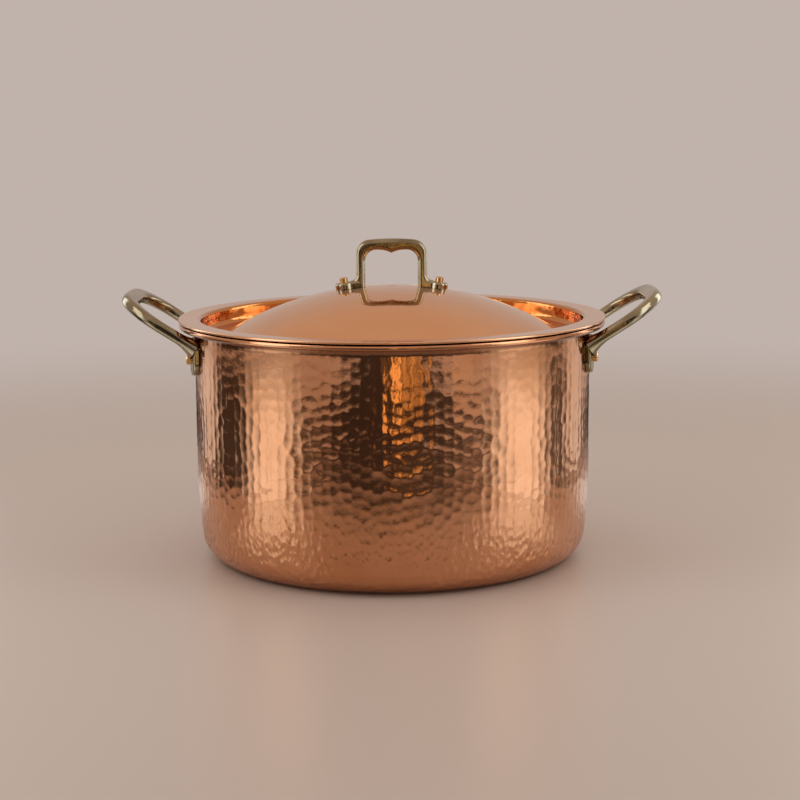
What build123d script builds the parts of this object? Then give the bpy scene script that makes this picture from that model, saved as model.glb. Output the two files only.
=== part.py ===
from build123d import *
import os
from math import asin, cos, degrees, radians, sin, sqrt, tan

# Hammered copper casserole with a domed lid, cast brass handles and copper rivets
# Millimetres, +Z up. The origin is the centre of the flat base; the side handles lie along X.
os.makedirs("parts", exist_ok=True)

# Pot: sheet copper, upright above the belly, drawn in slightly towards the base
pot_radius = 140.0
pot_height = 169.4
pot_copper = 2.0
belly_height = 70.0
belly_inset = 4.6
base_corner_radius = 20.0

# Rim: the wall curves out into a short lip, whose edge is rolled into a bead
flare_radius = 9.0
lip_width = 1.3
bead_diameter = 4.6

# Tin: a wiped skin inside the pot and under the lid
tin = 0.3
tin_edge_angle = 60.0

# Lid: the flange lies on the rim, the step drops inside the pot, and the dome rises from the channel
lid_copper = 1.6
lid_overhang = 0.8
lid_step_depth = 13.0
lid_shoulder_radius = 3.0
channel_width = 14.0
channel_radius = 4.5
dome_rise = 33.7
lid_fit_clearance = 0.8
rest_gap = 0.3

# Side handles: a tilted loop with a broad round grip, on two feet that hang down the wall
foot_angle = 14.0
foot_width = 18.0
foot_length = 27.0
foot_thickness = 3.7
foot_below_rivet = 11.3
loop_tilt = 33.5
loop_rim_clearance = 2.2
loop_reach = 58.6
loop_spread = 6.0
arm_width = 7.5
arm_thickness = 7.9
grip_width = 8.6
grip_arch = 4.6
grip_hollow = 1.5
loop_outer_radius = 31.0
loop_inner_radius = 23.5
root_length = 16.0
root_width = 12.6
root_thickness = 15.0
root_taper = 0.25

# Lid handle: an upright bail with a scalloped grip, on two round ears
bail_width = 50.4
bail_height = 31.5
bail_leg = 6.6
bail_depth = 7.6
bail_grip = 5.9
bail_arch = 2.0
bail_cusp = 2.3
bail_flat = 1.6
bail_flare = 4.0
bail_outer_radius = 10.4
bail_inner_radius = 7.8
ear_radius = 6.4
ear_thickness = 5.0
ear_reach = 7.9
ear_neck = 9.0
ear_waist = 3.0
bar_rounding = 0.44

# Rivets: the shank runs through foot and sheet, with a flat head inside and a peened button outside
rivet_below_rim = 24.6
side_shank = 5.0
side_button = 6.4
side_button_height = 4.0
side_head = 13.0
lid_shank = 4.4
lid_button = 5.8
lid_button_height = 3.7
lid_head = 11.0
head_height = 1.8
button_crown = 0.9
shank_clearance = 0.1
button_clearance = 0.4
seat_gap = 0.1
cast_rounding = 1.8
edge_rounding = 0.6

# Places that follow from the sizes above
pot_inside = pot_radius - pot_copper
flare_start = pot_height - flare_radius
bead_centre = pot_inside + flare_radius + lip_width
rim_radius = bead_centre + bead_diameter / 2
lid_radius = rim_radius + lid_overhang
lid_under = pot_height + rest_gap
lid_top = lid_under + lid_copper
step_inside = pot_inside - 2 * tin - lid_fit_clearance - lid_copper
channel_floor = lid_top - lid_step_depth
dome_foot = step_inside - channel_width
dome_apex = channel_floor + dome_rise
dome_sphere = (dome_foot**2 + dome_rise**2) / (2 * dome_rise)
dome_centre = dome_apex - dome_sphere
ear_tilt = degrees(asin((bail_width / 2 + ear_reach) / dome_sphere))
side_rivet_height = pot_height - rivet_below_rim
side_hole_start = pot_inside - head_height
lid_hole_start = dome_sphere - lid_copper - head_height
foot_face = pot_radius + foot_thickness
ear_face = dome_sphere + ear_thickness
ear_top = sqrt(ear_face**2 - (bail_width / 2)**2) + dome_centre - dome_apex
loop_origin = pot_radius * cos(radians(foot_angle))
loop_root = foot_face * sin(radians(foot_angle)) + foot_width / 2 * cos(radians(foot_angle))
loop_end = loop_root + loop_spread
bail_lobe = bail_width / 2 - bail_leg - bail_inner_radius - bail_flat
arm_under_bead = (arm_thickness + bead_diameter) / 2 + loop_rim_clearance
bead_over_arm = sqrt(bead_centre**2 - loop_root**2) - loop_origin
loop_drop = arm_under_bead / cos(radians(loop_tilt)) + bead_over_arm * tan(radians(loop_tilt))
loop_height = pot_height - bead_diameter / 2 - loop_drop


def pot_inner_line(flare_angle, lip):
    """Inside of the pot, from the axis out to the rim."""
    base_corner = (pot_inside - belly_inset, pot_copper)
    Line((0, pot_copper), base_corner)
    TangentArc((pot_inside, belly_height), base_corner, tangent=(0, -1))
    Line((pot_inside, belly_height), (pot_inside, flare_start))
    flare = CenterArc((pot_inside + flare_radius, flare_start), flare_radius, 180, -flare_angle)
    if lip:
        Line(flare @ 1, (bead_centre, pot_height))
    fillet(vertices().sort_by_distance(base_corner)[0], base_corner_radius - pot_copper)


def lid_top_line(step_top, flange):
    """Top of the lid, from the apex of the dome down through the channel and out to the edge."""
    dome_angle = degrees(asin(dome_foot / dome_sphere))
    dome_end = (dome_foot, channel_floor)
    step_foot = (step_inside, channel_floor)
    step_end = (step_inside, step_top)
    CenterArc((0, dome_centre), dome_sphere, 90, -dome_angle)
    Line(dome_end, step_foot)
    Line(step_foot, step_end)
    if flange:
        Line(step_end, (lid_radius, step_top))
        fillet(vertices().sort_by_distance(step_end)[0], lid_shoulder_radius)
    fillet(vertices().sort_by_distance(step_foot)[0], channel_radius)
    fillet(vertices().sort_by_distance(dome_end)[0], channel_radius)


def side_rivet_plane(side, end):
    """Plane on the pot's axis, whose normal points out through one rivet of a side handle."""
    across = radians(foot_angle)
    outward = (side * cos(across), end * sin(across), 0)
    return Plane(origin=(0, 0, side_rivet_height), x_dir=(0, 0, 1), z_dir=outward)


def lid_rivet_plane(side):
    """Plane at the centre of the dome's sphere, whose normal points out through one lid rivet."""
    tilt = radians(ear_tilt)
    return Plane(origin=(0, 0, dome_centre), x_dir=(0, side, 0), z_dir=(side * sin(tilt), 0, cos(tilt)))


side_planes = [side_rivet_plane(side, end) for side in (-1, 1) for end in (-1, 1)]
lid_planes = [lid_rivet_plane(side) for side in (-1, 1)]


def cut_rivet_holes(planes, inner, outer, shank):
    """Clearance holes through the current piece, between two distances along each rivet."""
    for plane in planes:
        with BuildSketch(plane.offset(inner)) as hole:
            Circle(shank / 2 + shank_clearance)
        extrude(hole.sketch, amount=outer - inner, mode=Mode.SUBTRACT)


def loop_line(root, reach, half_root, half_end, arch, radius):
    """Outline of a loop: two arms and a gently arched grip, with round corners."""
    ends = [(reach, -half_end), (reach, half_end)]
    Line((root, half_root), (root, -half_root))
    Line((root, -half_root), ends[0])
    ThreePointArc(ends[0], (reach + arch, 0), ends[1])
    Line(ends[1], (root, half_root))
    for corner in ends:
        fillet(vertices().sort_by_distance(corner)[0], radius)


def bail_opening_line():
    """Opening of the bail, whose upper side has two hollows that meet in a pointed cusp."""
    top = bail_height - bail_grip
    half = bail_width / 2 - bail_leg
    point = (top - bail_cusp, 0)
    Line((-ear_thickness, half), (-ear_thickness, -half))
    Line((-ear_thickness, -half), (top, -half))
    Line((top, -half), (top, -bail_lobe))
    TangentArc((top, -bail_lobe), point, tangent=(0, 1))
    TangentArc((top, bail_lobe), point, tangent=(0, -1))
    Line((top, bail_lobe), (top, half))
    Line((top, half), (-ear_thickness, half))
    for side in (-1, 1):
        fillet(vertices().sort_by_distance((top, side * half))[0], bail_inner_radius)


def bail_foot_line(side):
    """Foot of one leg of the bail, hollowed on the outside where it runs into the ear."""
    leg_face = side * bail_width / 2
    leg_back = leg_face - side * bail_leg
    foot_edge = leg_face + side * bail_flare
    flare_top = ear_top + bail_flare
    hollow = TangentArc((flare_top, leg_face), (ear_top, foot_edge), tangent=(-1, 0))
    Polyline(hollow @ 1, (-ear_thickness, foot_edge), (-ear_thickness, leg_back), (flare_top, leg_back),
             hollow @ 0)


def rivet_line(inner_seat, outer_seat, shank, head, button, button_height):
    """Half section of a rivet: low head, shank and peened button, with the axis upright."""
    top = outer_seat + button_height
    crown = TangentArc((0, top), (button / 2, top - button_crown), tangent=(1, 0))
    Polyline(crown @ 1, (button / 2, outer_seat), (shank / 2, outer_seat), (shank / 2, inner_seat),
             (head / 2, inner_seat))
    head_dome = TangentArc((0, inner_seat - head_height), (head / 2, inner_seat), tangent=(1, 0))
    Line(head_dome @ 0, crown @ 0)


# Pot body: the sheet follows its inner line, and the rim ends in a round bead
with BuildPart() as pot_body:
    with BuildSketch(Plane.XZ):
        with BuildLine():
            pot_inner_line(90, lip=True)
            offset(amount=pot_copper, side=Side.RIGHT)
        make_face()
        with Locations((bead_centre, pot_height - bead_diameter / 2)):
            Circle(bead_diameter / 2)
    revolve(axis=Axis.Z)
    cut_rivet_holes(side_planes, side_hole_start, foot_face, side_shank)

pot_body.part.label = "pot_body"
export_step(pot_body.part, "parts/pot_body.step")

# Tin inside the pot, from the base to part of the way up the flare
with BuildPart() as pot_tin_lining:
    with BuildSketch(Plane.XZ):
        with BuildLine():
            pot_inner_line(tin_edge_angle, lip=False)
            offset(amount=tin, side=Side.LEFT)
        make_face()
    revolve(axis=Axis.Z)
    cut_rivet_holes(side_planes, side_hole_start, foot_face, side_shank)

pot_tin_lining.part.label = "pot_tin_lining"
export_step(pot_tin_lining.part, "parts/pot_tin_lining.step")

# Feet of the right side handle: round-ended plates, softened all round their outer face
side_feet = []
for rivet in [side_rivet_plane(1, end) for end in (-1, 1)]:
    with BuildPart() as foot:
        with BuildSketch(rivet.offset(foot_face)):
            with Locations((foot_length / 2 - foot_below_rivet, 0)):
                SlotOverall(foot_length, foot_width)
        extrude(amount=-2 * foot_thickness)
        fillet(faces().sort_by(Axis(rivet.origin, rivet.z_dir))[-1].edges(), cast_rounding)
    side_feet.append(foot.part)

# Right side handle: the loop is one bar, and its arms swell into the feet
tilt = radians(loop_tilt)
loop_plane = Plane(origin=(loop_origin, 0, loop_height), x_dir=(cos(tilt), 0, sin(tilt)),
                   z_dir=(-sin(tilt), 0, cos(tilt)))
with BuildPart() as right_handle:
    with BuildSketch(loop_plane):
        with BuildLine():
            loop_line(0, loop_reach, loop_root, loop_end, grip_arch, loop_outer_radius)
        make_face()
        with BuildLine():
            loop_line(0, loop_reach - grip_width, loop_root - arm_width, loop_end - arm_width,
                      grip_hollow, loop_inner_radius)
        make_face(mode=Mode.SUBTRACT)
    extrude(amount=arm_thickness / 2, both=True)
    fillet(edges().filter_by(loop_plane), bar_rounding * min(arm_width, arm_thickness))
    for end in (-1, 1):
        arm_start = loop_plane.from_local_coords((0, end * (loop_root - arm_width / 2), 0))
        arm_end = loop_plane.from_local_coords((loop_reach, end * (loop_end - arm_width / 2), 0))
        arm = Plane(origin=arm_start, x_dir=(-sin(tilt), 0, cos(tilt)), z_dir=arm_end - arm_start)
        with BuildSketch(arm):
            Ellipse(root_thickness / 2, root_width / 2)
        with BuildSketch(arm.offset(root_length / 2)):
            swell_thickness = root_taper * (root_thickness - arm_thickness)
            swell_width = root_taper * (root_width - arm_width)
            Ellipse((arm_thickness + swell_thickness) / 2, (arm_width + swell_width) / 2)
        with BuildSketch(arm.offset(root_length)):
            Ellipse(arm_thickness / 2 - seat_gap, arm_width / 2 - seat_gap)
        loft()
    add(side_feet)
    for end in (-1, 1):
        with BuildSketch(side_rivet_plane(1, end).offset(foot_face)):
            Circle(side_button / 2 + button_clearance)
        extrude(amount=foot_length, mode=Mode.SUBTRACT)
    with BuildSketch(Plane.XY):
        Circle(pot_radius + seat_gap)
    extrude(amount=pot_height, mode=Mode.SUBTRACT)
    cut_rivet_holes([side_rivet_plane(1, end) for end in (-1, 1)], pot_inside, foot_face, side_shank)

right_handle.part.label = "right_handle"
export_step(right_handle.part, "parts/right_handle.step")

with BuildPart() as left_handle:
    mirror(right_handle.part, about=Plane.YZ)

left_handle.part.label = "left_handle"
export_step(left_handle.part, "parts/left_handle.step")

# Side rivets: one through each foot, with its flat head on the tin
side_head_seat = sqrt((pot_inside - tin)**2 - (side_head / 2)**2) - seat_gap
for side, side_name in ((-1, "left"), (1, "right")):
    for end, end_name in ((-1, "front"), (1, "rear")):
        axis_plane = side_rivet_plane(side, end)
        across = axis_plane.x_dir.cross(axis_plane.z_dir)
        with BuildPart() as side_rivet:
            with BuildSketch(Plane(origin=axis_plane.origin, x_dir=axis_plane.x_dir, z_dir=across)):
                with BuildLine():
                    rivet_line(side_head_seat, foot_face, side_shank, side_head, side_button,
                               side_button_height)
                make_face()
            revolve(axis=Axis(axis_plane.origin, axis_plane.z_dir))
        name = f"{side_name}_{end_name}_rivet"
        side_rivet.part.label = name
        export_step(side_rivet.part, f"parts/{name}.step")

# Lid: one sheet, raised into a dome inside a channel, with a flat flange around it
with BuildPart() as lid:
    with BuildSketch(Plane.XZ):
        with BuildLine():
            lid_top_line(lid_top, flange=True)
            offset(amount=lid_copper, side=Side.RIGHT)
        make_face()
    revolve(axis=Axis.Z)
    fillet(edges().filter_by(Plane.XY).group_by(SortBy.RADIUS)[-1], edge_rounding)
    cut_rivet_holes(lid_planes, lid_hole_start, ear_face, lid_shank)

lid.part.label = "lid"
export_step(lid.part, "parts/lid.step")

# Tin under the lid, from the centre to the top of the step
with BuildPart() as lid_tin_lining:
    with BuildSketch(Plane.XZ):
        with BuildLine():
            lid_top_line(lid_under - lid_shoulder_radius, flange=False)
            offset(amount=lid_copper + tin, side=Side.RIGHT)
        make_face()
        with BuildLine():
            lid_top_line(lid_under - lid_shoulder_radius, flange=False)
            offset(amount=lid_copper, side=Side.RIGHT)
        make_face(mode=Mode.SUBTRACT)
    revolve(axis=Axis.Z)
    cut_rivet_holes(lid_planes, lid_hole_start, ear_face, lid_shank)

lid_tin_lining.part.label = "lid_tin_lining"
export_step(lid_tin_lining.part, "parts/lid_tin_lining.step")

# Ears of the lid handle: round plates with a neck towards the leg, softened like the feet
lid_ears = []
for rivet in lid_planes:
    with BuildPart() as ear:
        with BuildSketch(rivet.offset(ear_face)):
            Circle(ear_radius)
            neck_length = ear_reach + bail_leg / 2
            with Locations((0, neck_length / 2)):
                Rectangle(ear_neck, neck_length)
            fillet(vertices().sort_by(Axis.Y)[:2], ear_waist)
        extrude(amount=-2 * ear_thickness)
        fillet(faces().sort_by(Axis(rivet.origin, rivet.z_dir))[-1].edges(), cast_rounding)
    lid_ears.append(ear.part)

# Lid handle: the bail stands across the dome, between its two ears
bail_plane = Plane(origin=(0, 0, dome_apex), x_dir=(0, 0, 1), z_dir=(0, -1, 0))
with BuildPart() as lid_handle:
    with BuildSketch(bail_plane):
        with BuildLine():
            loop_line(-ear_thickness, bail_height, bail_width / 2, bail_width / 2, bail_arch,
                      bail_outer_radius)
        make_face()
        with BuildLine():
            bail_opening_line()
        make_face(mode=Mode.SUBTRACT)
        for side in (-1, 1):
            with BuildLine():
                bail_foot_line(side)
            make_face()
    extrude(amount=bail_depth / 2, both=True)
    fillet(edges().filter_by(bail_plane), bar_rounding * min(bail_leg, bail_depth))
    add(lid_ears)
    for rivet in lid_planes:
        with BuildSketch(rivet.offset(ear_face)):
            Circle(lid_button / 2 + button_clearance)
        extrude(amount=2 * lid_button_height, mode=Mode.SUBTRACT)
    with Locations((0, 0, dome_centre)):
        Sphere(dome_sphere + seat_gap, mode=Mode.SUBTRACT)
    cut_rivet_holes(lid_planes, lid_hole_start, ear_face, lid_shank)

lid_handle.part.label = "lid_handle"
export_step(lid_handle.part, "parts/lid_handle.step")

# Lid rivets: one through each ear, square to the dome
lid_head_seat = sqrt((dome_sphere - lid_copper - tin)**2 - (lid_head / 2)**2) - seat_gap
for side, side_name in ((-1, "left"), (1, "right")):
    axis_plane = lid_rivet_plane(side)
    across = axis_plane.x_dir.cross(axis_plane.z_dir)
    with BuildPart() as lid_rivet:
        with BuildSketch(Plane(origin=axis_plane.origin, x_dir=axis_plane.x_dir, z_dir=across)):
            with BuildLine():
                rivet_line(lid_head_seat, ear_face, lid_shank, lid_head, lid_button, lid_button_height)
            make_face()
        revolve(axis=Axis(axis_plane.origin, axis_plane.z_dir))
    name = f"lid_{side_name}_rivet"
    lid_rivet.part.label = name
    export_step(lid_rivet.part, f"parts/{name}.step")
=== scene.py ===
import math
import bpy
import numpy as np
from mathutils import Matrix, Vector


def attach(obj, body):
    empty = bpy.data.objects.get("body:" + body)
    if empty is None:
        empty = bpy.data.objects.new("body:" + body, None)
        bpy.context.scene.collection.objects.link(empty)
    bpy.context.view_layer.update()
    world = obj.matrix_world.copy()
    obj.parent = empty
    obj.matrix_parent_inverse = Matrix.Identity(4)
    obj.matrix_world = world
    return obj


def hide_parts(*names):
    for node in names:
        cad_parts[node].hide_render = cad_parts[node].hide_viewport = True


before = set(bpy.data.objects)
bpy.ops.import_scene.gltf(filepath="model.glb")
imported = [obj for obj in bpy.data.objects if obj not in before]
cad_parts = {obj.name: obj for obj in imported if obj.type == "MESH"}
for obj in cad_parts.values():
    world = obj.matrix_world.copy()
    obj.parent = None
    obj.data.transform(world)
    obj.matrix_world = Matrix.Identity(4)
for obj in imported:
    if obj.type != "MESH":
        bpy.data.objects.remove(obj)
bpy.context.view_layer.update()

# Pot body: one sheet of copper, raised and then planished, so that the outside is covered in
# shallow hammer marks that run in upright chains. The wall turns out at the top, and its edge
# is rolled into a bead. Metres, as in the whole file.
pot_inside = 0.138
pot_copper = 0.002
pot_outside = pot_inside + pot_copper
pot_height = 0.1694
flare_radius = 0.009
flare_centre = (pot_inside + flare_radius, pot_height - flare_radius)
bead_centre = 0.1483
bead_radius = 0.0023
belly_height = 0.070
belly_inset = 0.0046
belly_arc_radius = ((belly_height - pot_copper)**2 + belly_inset**2) / (2 * belly_inset)
belly_centre = (pot_inside - belly_arc_radius, belly_height)
base_corner = 0.020
corner_inside = base_corner - pot_copper
corner_height = pot_copper + corner_inside
corner_reach = belly_centre[0] + math.sqrt((belly_arc_radius - corner_inside)**2
                                           - (corner_height - belly_height)**2)
corner_centre = (corner_reach, corner_height)
corner_turn = math.degrees(math.atan2(belly_height - corner_height, corner_reach - belly_centre[0]))


def arc(centre, radius, start, end, steps):
    """Points of an arc in the half section, as (distance from the axis, height); angles in degrees."""
    angles = np.radians(np.linspace(start, end, steps + 1))
    return [(centre[0] + radius * math.cos(a), centre[1] + radius * math.sin(a)) for a in angles]


def turned(name, section, columns, press=None):
    """A turned piece from its closed half section; press gives how far each place lies inwards."""
    line = np.array(section)
    along = np.roll(line, -1, axis=0) - np.roll(line, 1, axis=0)
    out = np.stack([along[:, 1], -along[:, 0]], axis=1)
    out /= np.maximum(np.linalg.norm(out, axis=1, keepdims=True), 1e-12)
    angle = np.linspace(0, 2 * math.pi, columns, endpoint=False)
    radius = np.repeat(line[:, :1], columns, axis=1)
    height = np.repeat(line[:, 1:], columns, axis=1)
    if press is not None:
        depth = press(np.tile(angle, (len(line), 1)), radius, height)
        radius = radius - out[:, :1] * depth
        height = height - out[:, 1:] * depth
    points = np.stack([radius * np.cos(angle), radius * np.sin(angle), height], axis=2).reshape(-1, 3)
    row, column = np.meshgrid(np.arange(len(line)), np.arange(columns), indexing="ij")
    next_row = (row + 1) % len(line)
    next_column = (column + 1) % columns
    faces = np.stack([row * columns + column, row * columns + next_column,
                      next_row * columns + next_column, next_row * columns + column], axis=2).reshape(-1, 4)
    mesh = bpy.data.meshes.new(name)
    mesh.from_pydata(points.tolist(), [], faces.tolist())
    mesh.polygons.foreach_set("use_smooth", [True] * len(mesh.polygons))
    piece = bpy.data.objects.new(name, mesh)
    bpy.context.scene.collection.objects.link(piece)
    return piece


# The blows of the planishing hammer: their spacing, the shape of each facet, and where along
# the wall the marks begin, grow shallow and end. The inner skin takes none.
chain_count = 132
blow_rows = 50
blow_pitch = 0.0074
scatter_across = 0.11
scatter_along = 0.17
facet_radius_across = 0.030
facet_radius_along = 0.050
sheet_dent = 0.00033
blow_unevenness = 0.000024
marks_start = 0.006
marks_rise = 0.024
marks_fade = 0.108
fade_height = 0.045
fade_share = 0.6
marks_top = flare_centre[1] + 0.003
skin_margin = 0.0004
# The sheet's own slow waves: how many go round the wall, their lean and their share.
slow_waves = ((3, 24, 1.0), (5, -37, 0.7), (9, 55, 0.5), (14, -90, 0.35))
wave_depth = 0.00008
blows = np.random.default_rng(7)
blow_shift = blows.uniform(0, 1, chain_count)
blow_across = blows.normal(0, scatter_across, (chain_count, blow_rows))
blow_along = blows.normal(0, scatter_along, (chain_count, blow_rows))
blow_curve = blows.uniform(0.75, 1.3, (chain_count, blow_rows))
blow_depth = blows.uniform(0, 1, (chain_count, blow_rows))
wave_phase = blows.uniform(0, 2 * math.pi, len(slow_waves))


def hammer_marks(angle, radius, height):
    """Depth of the planished surface: overlapping shallow facets, and the sheet's own slow waves."""
    across = angle / (2 * math.pi) * chain_count
    spacing = 2 * math.pi * radius / chain_count
    nearest = np.full(angle.shape, 1.0)
    for side in (-1, 0, 1):
        chain = np.floor(across).astype(int) + side
        chain_here = chain % chain_count
        up = height / blow_pitch + blow_shift[chain_here]
        for above in (-1, 0, 1):
            blow = np.floor(up).astype(int) + above
            here = (chain_here, blow % blow_rows)
            dx = (across - chain - 0.5 - blow_across[here]) * spacing
            dz = (up - blow - 0.5 - blow_along[here]) * blow_pitch
            facet = dx**2 / (2 * facet_radius_across) + dz**2 / (2 * facet_radius_along)
            nearest = np.minimum(nearest, facet * blow_curve[here] + blow_unevenness * blow_depth[here])
    slow = sum(share * np.sin(turns * angle + phase + lean * height)
               for (turns, lean, share), phase in zip(slow_waves, wave_phase))
    low = np.clip((height - marks_start) / marks_rise, 0, 1)
    low = low * low * (3 - 2 * low)
    high = 1 - fade_share * np.clip((height - marks_fade) / fade_height, 0, 1)
    inner_wall = pot_inside - np.clip(belly_height - height, 0, None)**2 / (2 * belly_arc_radius)
    outside = radius > inner_wall + skin_margin
    strength = low * high * outside * (height < marks_top)
    return strength * (sheet_dent - nearest + wave_depth * slow)


# The half section: out under the base, up the outside, round the bead and down the inside. It
# starts and ends just off the axis.
axis_gap = 0.0002
wall_columns = 840
wall_rise = flare_centre[1] - belly_height
wall_step = 0.0012
wall_rows = math.ceil(wall_rise / wall_step)
outer_skin = [(reach, 0) for reach in (axis_gap, 0.04, 0.08, 0.105)]
outer_skin += arc(corner_centre, base_corner, -90, -corner_turn, 24)
outer_skin += arc(belly_centre, belly_arc_radius + pot_copper, -corner_turn, 0, 36)[1:]
outer_skin += [(pot_outside, belly_height + wall_rise * row / wall_rows) for row in range(1, wall_rows + 1)]
outer_skin += arc(flare_centre, flare_radius - pot_copper, 180, 98, 8)[1:]
outer_skin += arc((bead_centre, pot_height - bead_radius), bead_radius, 176, 450, 22)
inner_skin = arc(flare_centre, flare_radius, 90, 180, 10)
inner_skin += [(pot_inside, height) for height in (0.13, 0.10, belly_height)]
inner_skin += arc(belly_centre, belly_arc_radius, 0, -corner_turn, 10)[1:]
inner_skin += arc(corner_centre, corner_inside, -corner_turn, -90, 10)[1:]
inner_skin += [(reach, pot_copper) for reach in (0.06, axis_gap)]
pot_wall = turned("pot_wall", outer_skin + inner_skin, wall_columns, hammer_marks)
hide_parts("pot_body")
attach(pot_wall, "pot")


class Finish:
    """A material under construction. Sockets take a number, a colour or another node's output."""

    def __init__(self, name, metallic=1.0):
        self.material = bpy.data.materials.new(name)
        self.material.use_nodes = True
        self.nodes = self.material.node_tree.nodes
        self.shader = self.nodes["Principled BSDF"]
        self.shader.inputs["Metallic"].default_value = metallic
        self.place = self.node("ShaderNodeTexCoord").outputs["Object"]

    def feed(self, value, socket):
        if isinstance(value, (int, float)):
            socket.default_value = value
        elif isinstance(value, tuple):
            socket.default_value = (*value, 1.0)
        else:
            self.material.node_tree.links.new(value, socket)

    def node(self, kind, sockets=None, **settings):
        node = self.nodes.new(kind)
        for key, value in settings.items():
            setattr(node, key, value)
        for key, value in (sockets or {}).items():
            self.feed(value, node.inputs[key])
        return node

    def stretched(self, scale):
        """The place on the piece with its axes scaled, for a texture that is longer one way."""
        node = self.node("ShaderNodeMapping", {"Vector": self.place})
        node.inputs["Scale"].default_value = scale
        return node.outputs["Vector"]

    def along(self, axis):
        return self.node("ShaderNodeSeparateXYZ", {0: self.place}).outputs[axis]

    def length(self, vector):
        return self.node("ShaderNodeVectorMath", {0: vector}, operation="LENGTH").outputs["Value"]

    def noise(self, scale, detail=4.0, roughness=0.55, vector=None):
        sockets = {"Vector": self.place if vector is None else vector,
                   "Scale": scale, "Detail": detail, "Roughness": roughness}
        return self.node("ShaderNodeTexNoise", sockets).outputs["Fac"]

    def cells(self, scale, smoothness=0.3, vector=None):
        sockets = {"Vector": self.place if vector is None else vector,
                   "Scale": scale, "Smoothness": smoothness}
        return self.node("ShaderNodeTexVoronoi", sockets, feature="SMOOTH_F1").outputs["Distance"]

    def span(self, value, low, high, out_low=0.0, out_high=1.0, curve="LINEAR"):
        """The value stretched from low..high to out_low..out_high, and held there beyond the ends."""
        sockets = {"Value": value, "From Min": low, "From Max": high, "To Min": out_low, "To Max": out_high}
        return self.node("ShaderNodeMapRange", sockets, interpolation_type=curve).outputs["Result"]

    def ease(self, value, low, high):
        """0 at low and 1 at high, with a soft start and end."""
        return self.span(value, low, high, curve="SMOOTHSTEP")

    def math(self, operation, *values):
        return self.node("ShaderNodeMath", dict(enumerate(values)), operation=operation).outputs[0]

    def times(self, a, b):
        return self.math("MULTIPLY", a, b)

    def blend(self, share, a, b):
        """Colour a where the share is 0, and colour b where it is 1."""
        return self.node("ShaderNodeMix", {0: share, 6: a, 7: b}, data_type="RGBA").outputs[2]

    def bump(self, height, strength, distance, below=None):
        sockets = {"Strength": strength, "Distance": distance, "Height": height}
        if below is not None:
            sockets["Normal"] = below
        return self.node("ShaderNodeBump", sockets).outputs["Normal"]

    def finished(self, **sockets):
        """The material, with the sockets of its shader fed."""
        for key, value in sockets.items():
            self.feed(value, self.shader.inputs[key.replace("_", " ")])
        return self.material

    def glowing(self, share, under, colour, strength):
        """The material with a glow that covers this share of the shader under it."""
        glow = self.node("ShaderNodeEmission", {"Color": colour, "Strength": strength})
        either = self.node("ShaderNodeMixShader", {0: share, 1: under, 2: glow.outputs[0]})
        self.feed(either.outputs[0], self.nodes["Material Output"].inputs["Surface"])
        return self.material


dark_copper = (0.62, 0.275, 0.13)
light_copper = (0.76, 0.385, 0.215)
tarnish_colour = (0.46, 0.18, 0.075)
foot_colour = (0.56, 0.25, 0.12)
bead_painted_shade_colour = (0.20, 0.085, 0.045)
foot_zone = (0.066, 0.010)
bead_shadow_foot = (0.1600, 0.1632)
bead_shadow_top = (0.1668, 0.1655)
copper = Finish("hammered copper")
tone = copper.noise(9.0, detail=5.0, roughness=0.6)
colour = copper.blend(copper.span(tone, 0.35, 0.65), dark_copper, light_copper)
tarnish = copper.span(copper.noise(34.0, detail=8.0, roughness=0.65), 0.56, 0.74)
colour = copper.blend(copper.times(tarnish, 0.35), colour, tarnish_colour)
height = copper.along("Z")
near_foot = copper.ease(height, *foot_zone)
colour = copper.blend(copper.times(near_foot, 0.35), colour, foot_colour)
# Painted shade: a narrow band under the bead, where the flare turns in, is darkened towards a deep brown.
painted_bead_shade = copper.times(copper.ease(height, *bead_shadow_foot), copper.ease(height, *bead_shadow_top))
colour = copper.blend(copper.times(painted_bead_shade, 0.85), colour, bead_painted_shade_colour)
haze = copper.span(copper.noise(5.0, detail=4.0, roughness=0.6), 0.35, 0.7, 0.075, 0.15)
haze = copper.math("ADD", haze, copper.times(near_foot, 0.10))
small_marks = copper.cells(300.0, smoothness=0.35, vector=copper.stretched((1.0, 1.0, 0.62)))
planish = copper.noise(130.0, detail=3.0, roughness=0.5, vector=copper.stretched((1.0, 1.0, 0.8)))
relief = copper.bump(copper.times(small_marks, near_foot), 0.48, 0.0018)
relief = copper.bump(planish, 0.27, 0.0008, relief)
relief = copper.bump(copper.noise(900.0, detail=2.0), 0.03, 0.0002, relief)
pot_wall.data.materials.append(copper.finished(Base_Color=colour, Roughness=haze, Normal=relief))

# Tin inside the pot and under the lid: wiped on molten by hand, so it is pale, satin and a
# little cloudy, with faint streaks where the wad went round.
dull_tin = (0.66, 0.65, 0.62)
bright_tin = (0.80, 0.79, 0.76)


def dress(names, material):
    """Gives pieces of the frame their material; their meshes stay as they are."""
    for name in names:
        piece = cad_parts[name]
        piece.data.materials.clear()
        piece.data.materials.append(material)


tin = Finish("wiped tin")
cloud = tin.span(tin.noise(14.0, detail=6.0, roughness=0.6), 0.35, 0.7)
colour = tin.blend(cloud, dull_tin, bright_tin)
haze = tin.span(tin.noise(22.0, detail=5.0, roughness=0.6), 0.3, 0.7, 0.24, 0.42)
wipes = tin.noise(60.0, detail=4.0, roughness=0.6, vector=tin.stretched((1.0, 1.0, 4.0)))
relief = tin.bump(wipes, 0.15, 0.0006)
dress(("pot_tin_lining", "lid_tin_lining"),
      tin.finished(Base_Color=colour, Roughness=haze, Normal=relief))
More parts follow.
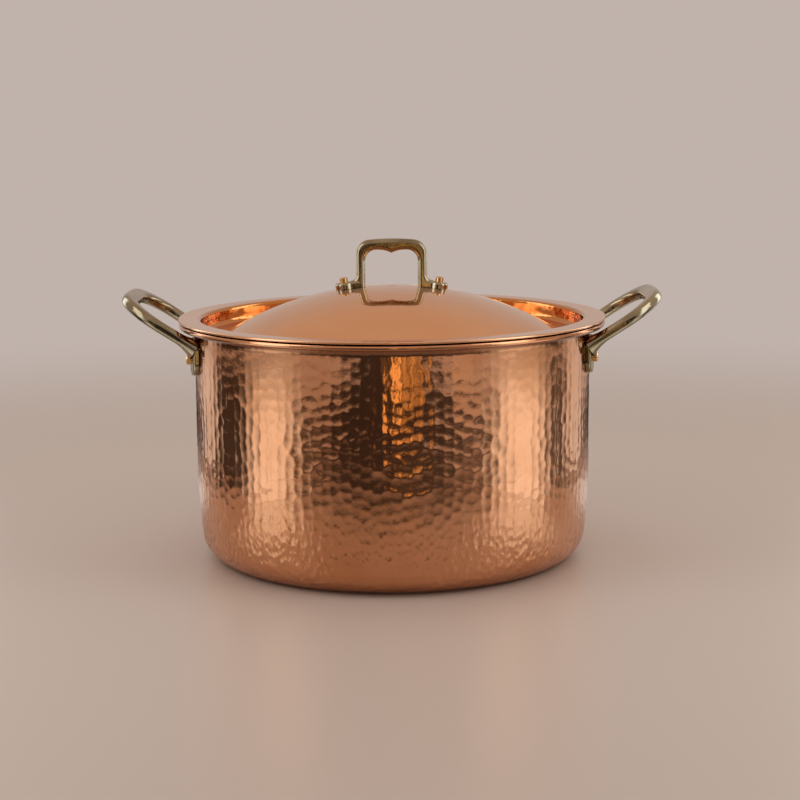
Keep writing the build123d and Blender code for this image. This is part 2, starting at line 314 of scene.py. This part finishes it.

# Lid: one sheet of copper spun into a domed disc, with a channel round the dome and a flat
# flange that lies on the rim. It is polished to a soft satin, and the channel is glossier
# and a little wavy, with painted shade deepening its colour.
lid_under = 0.1697
lid_copper = 0.0016
lid_upper = lid_under + lid_copper
lid_radius = 0.1514
edge_rounding = lid_copper / 2
flange_end = lid_radius - edge_rounding
step_inside = 0.1350
channel_floor = 0.1583
channel_rounding = 0.0045
shoulder_rounding = 0.0030
dome_foot = 0.1210
dome_radius = 0.23408
dome_centre = -0.04208
dome_sweep = math.degrees(math.asin(dome_foot / dome_radius))
dome_start = 90 - 0.05  # just off the axis
lid_columns = 360


def rounded(start, corners, end):
    """A line from start to end by (reach, height, rounding) corners, each turned into an arc."""
    line = [start]
    stations = [start, *corners, end]
    for before, corner, after in zip(stations[:-2], corners, stations[2:]):
        here = np.array(corner[:2])
        rounding = corner[2]
        back = np.array(before[:2]) - here
        on = np.array(after[:2]) - here
        back /= np.linalg.norm(back)
        on /= np.linalg.norm(on)
        half = math.acos(np.clip(back @ on, -1, 1)) / 2
        trim = rounding / math.tan(half)
        middle = (back + on) / np.linalg.norm(back + on)
        centre = here + middle * rounding / math.sin(half)
        first = here + back * trim - centre
        last = here + on * trim - centre
        first_angle = math.degrees(math.atan2(first[1], first[0]))
        turn = (math.degrees(math.atan2(last[1], last[0])) - first_angle + 180) % 360 - 180
        line += arc(centre, rounding, first_angle, first_angle + turn, 10)
    line.append(end)
    return line


def beside(line, distance):
    """The line moved sideways, to the right of its direction."""
    points = np.array(line)
    along = np.gradient(points, axis=0)
    out = np.stack([along[:, 1], -along[:, 0]], axis=1)
    out /= np.linalg.norm(out, axis=1, keepdims=True)
    return [tuple(p) for p in points + out * distance]


dome_line = arc((0, dome_centre), dome_radius, dome_start, 90 - dome_sweep, 44)
channel_line = rounded(dome_line[-2],
                       [(dome_foot, channel_floor, channel_rounding),
                        (step_inside, channel_floor, channel_rounding),
                        (step_inside, lid_upper, shoulder_rounding)],
                       (flange_end, lid_upper))
lid_top = dome_line[:-2] + channel_line[1:]
lid_edge = arc((flange_end, lid_under + edge_rounding), edge_rounding, -90, 90, 10)
lid_sheet = turned("lid_sheet", beside(lid_top, lid_copper) + lid_edge + lid_top[::-1], lid_columns)
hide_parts("lid")
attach(lid_sheet, "lid")
satin_deep = (0.84, 0.44, 0.235)
satin_pale = (0.90, 0.52, 0.30)
channel_painted_shade_colour = (0.70, 0.27, 0.075)
channel_inner_edge = (0.1165, 0.1215)
channel_outer_edge = (0.1385, 0.1355)
satin = Finish("satin copper")
tone = satin.noise(7.0, detail=5.0, roughness=0.6)
colour = satin.blend(satin.span(tone, 0.35, 0.65), satin_deep, satin_pale)
reach = satin.length(satin.stretched((1.0, 1.0, 0.0)))
in_channel = satin.times(satin.ease(reach, *channel_inner_edge), satin.ease(reach, *channel_outer_edge))
# Painted shade: the channel's colour is deepened.
colour = satin.blend(in_channel, colour, channel_painted_shade_colour)
haze = satin.span(satin.noise(6.0, detail=6.0, roughness=0.6), 0.3, 0.7, 0.06, 0.12)
haze = satin.times(haze, satin.span(in_channel, 0.0, 1.0, 1.0, 0.6))
relief = satin.bump(satin.noise(26.0, detail=2.0, roughness=0.4), 0.06, 0.0015)
channel_wave = satin.times(satin.noise(48.0, detail=2.0, roughness=0.5), in_channel)
relief = satin.bump(channel_wave, 0.3, 0.004, relief)
relief = satin.bump(satin.noise(420.0, detail=2.0), 0.04, 0.0003, relief)
lid_sheet.data.materials.append(satin.finished(Base_Color=colour, Roughness=haze, Normal=relief))

# Handles: cast brass, dressed and polished and unevenly darkened, with soft dips left from the
# sand mould. The side loops and the lid's bail keep their solids from the frame.
dark_brass = (0.27, 0.215, 0.13)
light_brass = (0.46, 0.385, 0.26)
brass = Finish("cast brass")
tone = brass.noise(30.0, detail=5.0, roughness=0.6)
colour = brass.blend(brass.span(tone, 0.35, 0.65), dark_brass, light_brass)
haze = brass.span(brass.noise(60.0, detail=5.0, roughness=0.6), 0.3, 0.7, 0.08, 0.17)
relief = brass.bump(brass.noise(120.0, detail=3.0, roughness=0.5), 0.12, 0.0008)
relief = brass.bump(brass.noise(800.0, detail=2.0), 0.05, 0.0002, relief)
dress(("left_handle", "right_handle", "lid_handle"),
      brass.finished(Base_Color=colour, Roughness=haze, Normal=relief))

# Rivets: copper pins with a flat head inside, through tin, copper and brass. They are peened by
# hand over the handle's feet and ears, so their tops are a little faceted.
dark_rivet = (0.68, 0.40, 0.16)
light_rivet = (0.82, 0.52, 0.25)
peened = Finish("peened copper")
tone = peened.noise(80.0, detail=4.0, roughness=0.6)
colour = peened.blend(peened.span(tone, 0.35, 0.65), dark_rivet, light_rivet)
relief = peened.bump(peened.cells(420.0), 0.12, 0.0006)
dress([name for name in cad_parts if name.endswith("rivet")],
      peened.finished(Base_Color=colour, Roughness=0.24, Normal=relief))

# Floor and backdrop: a plain pale sweep. Past the pool of light it fades into the backdrop's own
# colour, which cameras and reflections both see, so that no edge or horizon shows.
backdrop_colour = (0.53, 0.45, 0.41)
floor_colour = (0.62, 0.56, 0.52)
floor_half = 40
fade_start = 0.42
fade_end = 1.3


def flat_mesh(name, left, right, near, far):
    """A mesh of one flat face."""
    mesh = bpy.data.meshes.new(name)
    mesh.from_pydata([(left, near, 0), (right, near, 0), (right, far, 0), (left, far, 0)], [], [(0, 1, 2, 3)])
    return mesh


floor_mesh = flat_mesh("floor", -floor_half, floor_half, -floor_half, floor_half)
floor = bpy.data.objects.new("floor", floor_mesh)
bpy.context.scene.collection.objects.link(floor)
floor.location.z = -0.0001
sweep = Finish("plain sweep", metallic=0.0)
faded = sweep.ease(sweep.length(sweep.place), fade_start, fade_end)
ray = sweep.node("ShaderNodeLightPath")
seen = sweep.math("MAXIMUM", ray.outputs["Is Camera Ray"], ray.outputs["Is Glossy Ray"])
seen = sweep.math("MAXIMUM", seen, ray.outputs["Is Transmission Ray"])
sweep.finished(Base_Color=floor_colour, Roughness=0.36)
floor_mesh.materials.append(sweep.glowing(sweep.times(faded, seen), sweep.shader.outputs[0],
                                          backdrop_colour, 1.0))

# Light: a soft box at each side and a soft pool from above, in a plain pale studio. The cards
# and dark shades round the pot are seen only by its reflections, and draw the bright streaks
# and the dark stretches on the copper.
overhead_colour = (0.60, 0.47, 0.38)
overhead_start = 0.30
overhead_end = 0.75
lamp_power = 0.8
for name, place, aim, size, spread in (
        ("left box", (-0.70, -0.35, 0.70), (0, -0.02, 0.20), (0.45, 0.55), 150),
        ("right box", (0.70, -0.35, 0.70), (0, -0.02, 0.20), (0.45, 0.55), 150),
        ("pool", (0, 0.10, 1.50), (0, 0.10, 0), (1.2, 0.9), 90)):
    lamp = bpy.data.lights.new(name, "AREA")
    lamp.shape = "RECTANGLE"
    lamp.size, lamp.size_y = size
    lamp.energy = lamp_power
    lamp.spread = math.radians(spread)
    holder = bpy.data.objects.new(name, lamp)
    holder.location = place
    holder.rotation_euler = (Vector(aim) - Vector(place)).to_track_quat("-Z", "Y").to_euler()
    holder.visible_camera = False
    holder.visible_glossy = name != "pool"
    bpy.context.scene.collection.objects.link(holder)


def soft_card(name, place, aim, lean, size, colour, strength, fades, ribs=0):
    """A card outside the picture that shines from its face only. Place is the middle of its foot,
    lean tips it back from upright, fades are the shares of its width, foot and top that fade out,
    and ribs is the scale of uneven upright stripes in its glow."""
    half, tall = size[0] / 2, size[1]
    mesh = flat_mesh(name, -half, half, 0, tall)
    card = bpy.data.objects.new(name, mesh)
    bpy.context.scene.collection.objects.link(card)
    facing = (Vector(aim) - Vector(place)).to_track_quat("Z", "Y").to_matrix().to_4x4()
    card.matrix_world = Matrix.Translation(place) @ facing @ Matrix.Rotation(math.radians(-lean), 4, "X")
    card.visible_camera = False
    card.visible_shadow = False
    card.visible_diffuse = False
    glow = Finish(name, metallic=0.0)
    beside_middle = glow.math("ABSOLUTE", glow.along("X"))
    above_foot = glow.along("Y")
    share = glow.ease(beside_middle, half, half * (1 - fades[0]))
    share = glow.times(share, glow.ease(above_foot, 0, tall * fades[1]))
    share = glow.times(share, glow.ease(above_foot, tall, tall * (1 - fades[2])))
    if ribs:
        rib = glow.noise(ribs, detail=2.0, roughness=0.5, vector=glow.stretched((1.0, 0.0, 0.0)))
        share = glow.times(share, glow.ease(rib, 0.44, 0.58))
    behind = glow.node("ShaderNodeNewGeometry").outputs["Backfacing"]
    share = glow.times(share, glow.math("SUBTRACT", 1.0, behind))
    clear = glow.node("ShaderNodeBsdfTransparent").outputs[0]
    mesh.materials.append(glow.glowing(share, clear, colour, strength))


warm = (0.96, 0.96, 0.93)
cool = (0.90, 0.97, 1.0)
gold = (1.0, 0.58, 0.20)
amber = (1.0, 0.72, 0.45)
shade = (0.05, 0.04, 0.035)
upright = 0
lying = 90
low = 0.004
raised = 0.085
hands = (("left", -1), ("right", 1))
side_fades = (0.88, 0.05, 0.55)
low_fades = (0.88, 0.5, 0.02)
shade_fades = (0.5, 0.12, 0.5)
# The warm cards behind the pot are dimmer, and two stand further out, to keep their shine off
# the part of the floor that the camera sees.
for side, y, out, glare in (("front", 1, 0, 1.0), ("back", -1, 0.085, 0.7)):
    soft_card(f"left {side} card", (-0.290 - out, -0.176 * y, low), (-0.09, -0.12 * y, low), upright,
              (0.26, 0.150), warm, 1.3 * glare, side_fades)
    soft_card(f"right {side} card", (0.290 + out, -0.150 * y, low), (0.09, -0.11 * y, low), upright,
              (0.30, 0.165), warm, 1.35 * glare, side_fades)
    soft_card(f"left {side} low card", (-0.128, -0.128 * y, low), (-0.03, -0.10 * y, low), lying,
              (0.20, 0.165), warm, 1.1 * glare, low_fades)
    soft_card(f"right {side} low card", (0.128, -0.120 * y, low), (0.03, -0.10 * y, low), lying,
              (0.22, 0.165), warm, 1.1 * glare, low_fades)
    soft_card(f"{side} gold card", (0.075, -0.66 * y, low), (0.02, -0.14 * y, low), upright,
              (0.28, 0.20), gold, 1.9, (0.7, 0.2, 0.4), ribs=24)
    soft_card(f"{side} amber card", (0.46, -0.60 * y, low), (0.07, -0.13 * y, low), upright,
              (0.30, 0.12), amber, 0.8, (0.88, 0.2, 0.55), ribs=20)
    for hand, x in hands:
        soft_card(f"{hand} {side} cool card", (0.60 * x, -0.34 * y, raised), (0, 0, raised), upright,
                  (0.34, 0.80), cool, 2.3, (0.6, 0.1, 0.5))
    soft_card(f"low {side} shade", (0, -0.155 * y, 0.002), (0, 0, 0.002), lying,
              (1.2, 2.6), shade, 1.0, (0.5, 0.15, 0.2))
for hand, x in hands:
    soft_card(f"{hand} shade", (0.30 * x, -0.05, 0.0015), (0, -0.05, 0.0015), lying,
              (1.3, 1.2), shade, 1.3, shade_fades)
soft_card("front shade", (0, -1.75, 0.003), (0, 0, 0.003), upright, (2.8, 0.55), shade, 1.0, (0.4, 0.05, 0.5))
world = bpy.data.worlds.new("studio")
bpy.context.scene.world = world
world.use_nodes = True
nodes = world.node_tree.nodes
links = world.node_tree.links
direction = nodes.new("ShaderNodeSeparateXYZ")
links.new(nodes.new("ShaderNodeTexCoord").outputs["Generated"], direction.inputs[0])
overhead = nodes.new("ShaderNodeMapRange")
overhead.interpolation_type = "SMOOTHSTEP"
overhead.inputs["From Min"].default_value = overhead_start
overhead.inputs["From Max"].default_value = overhead_end
links.new(direction.outputs["Z"], overhead.inputs["Value"])
studio = nodes.new("ShaderNodeMix")
studio.data_type = "RGBA"
links.new(overhead.outputs["Result"], studio.inputs[0])
studio.inputs[6].default_value = (*backdrop_colour, 1)
studio.inputs[7].default_value = (*overhead_colour, 1)
links.new(studio.outputs[2], nodes["Background"].inputs["Color"])

# Camera: in front of the pot and a little above the lid, looking slightly down, at the distance
# and angle that were fitted to the photograph.
camera_place = (0.005246, -1.2757, 0.3197)
look_down = 9.35
camera_roll = -0.008
lens = bpy.data.cameras.new("camera")
lens.sensor_width = 36
lens.lens = 81.13
camera = bpy.data.objects.new("camera", lens)
bpy.context.scene.collection.objects.link(camera)
camera.matrix_world = (Matrix.Translation(camera_place)
                       @ Matrix.Rotation(math.radians(90 - look_down), 4, "X")
                       @ Matrix.Rotation(camera_roll, 4, "Z"))
bpy.context.scene.camera = camera
bpy.context.scene.view_settings.view_transform = "Standard"
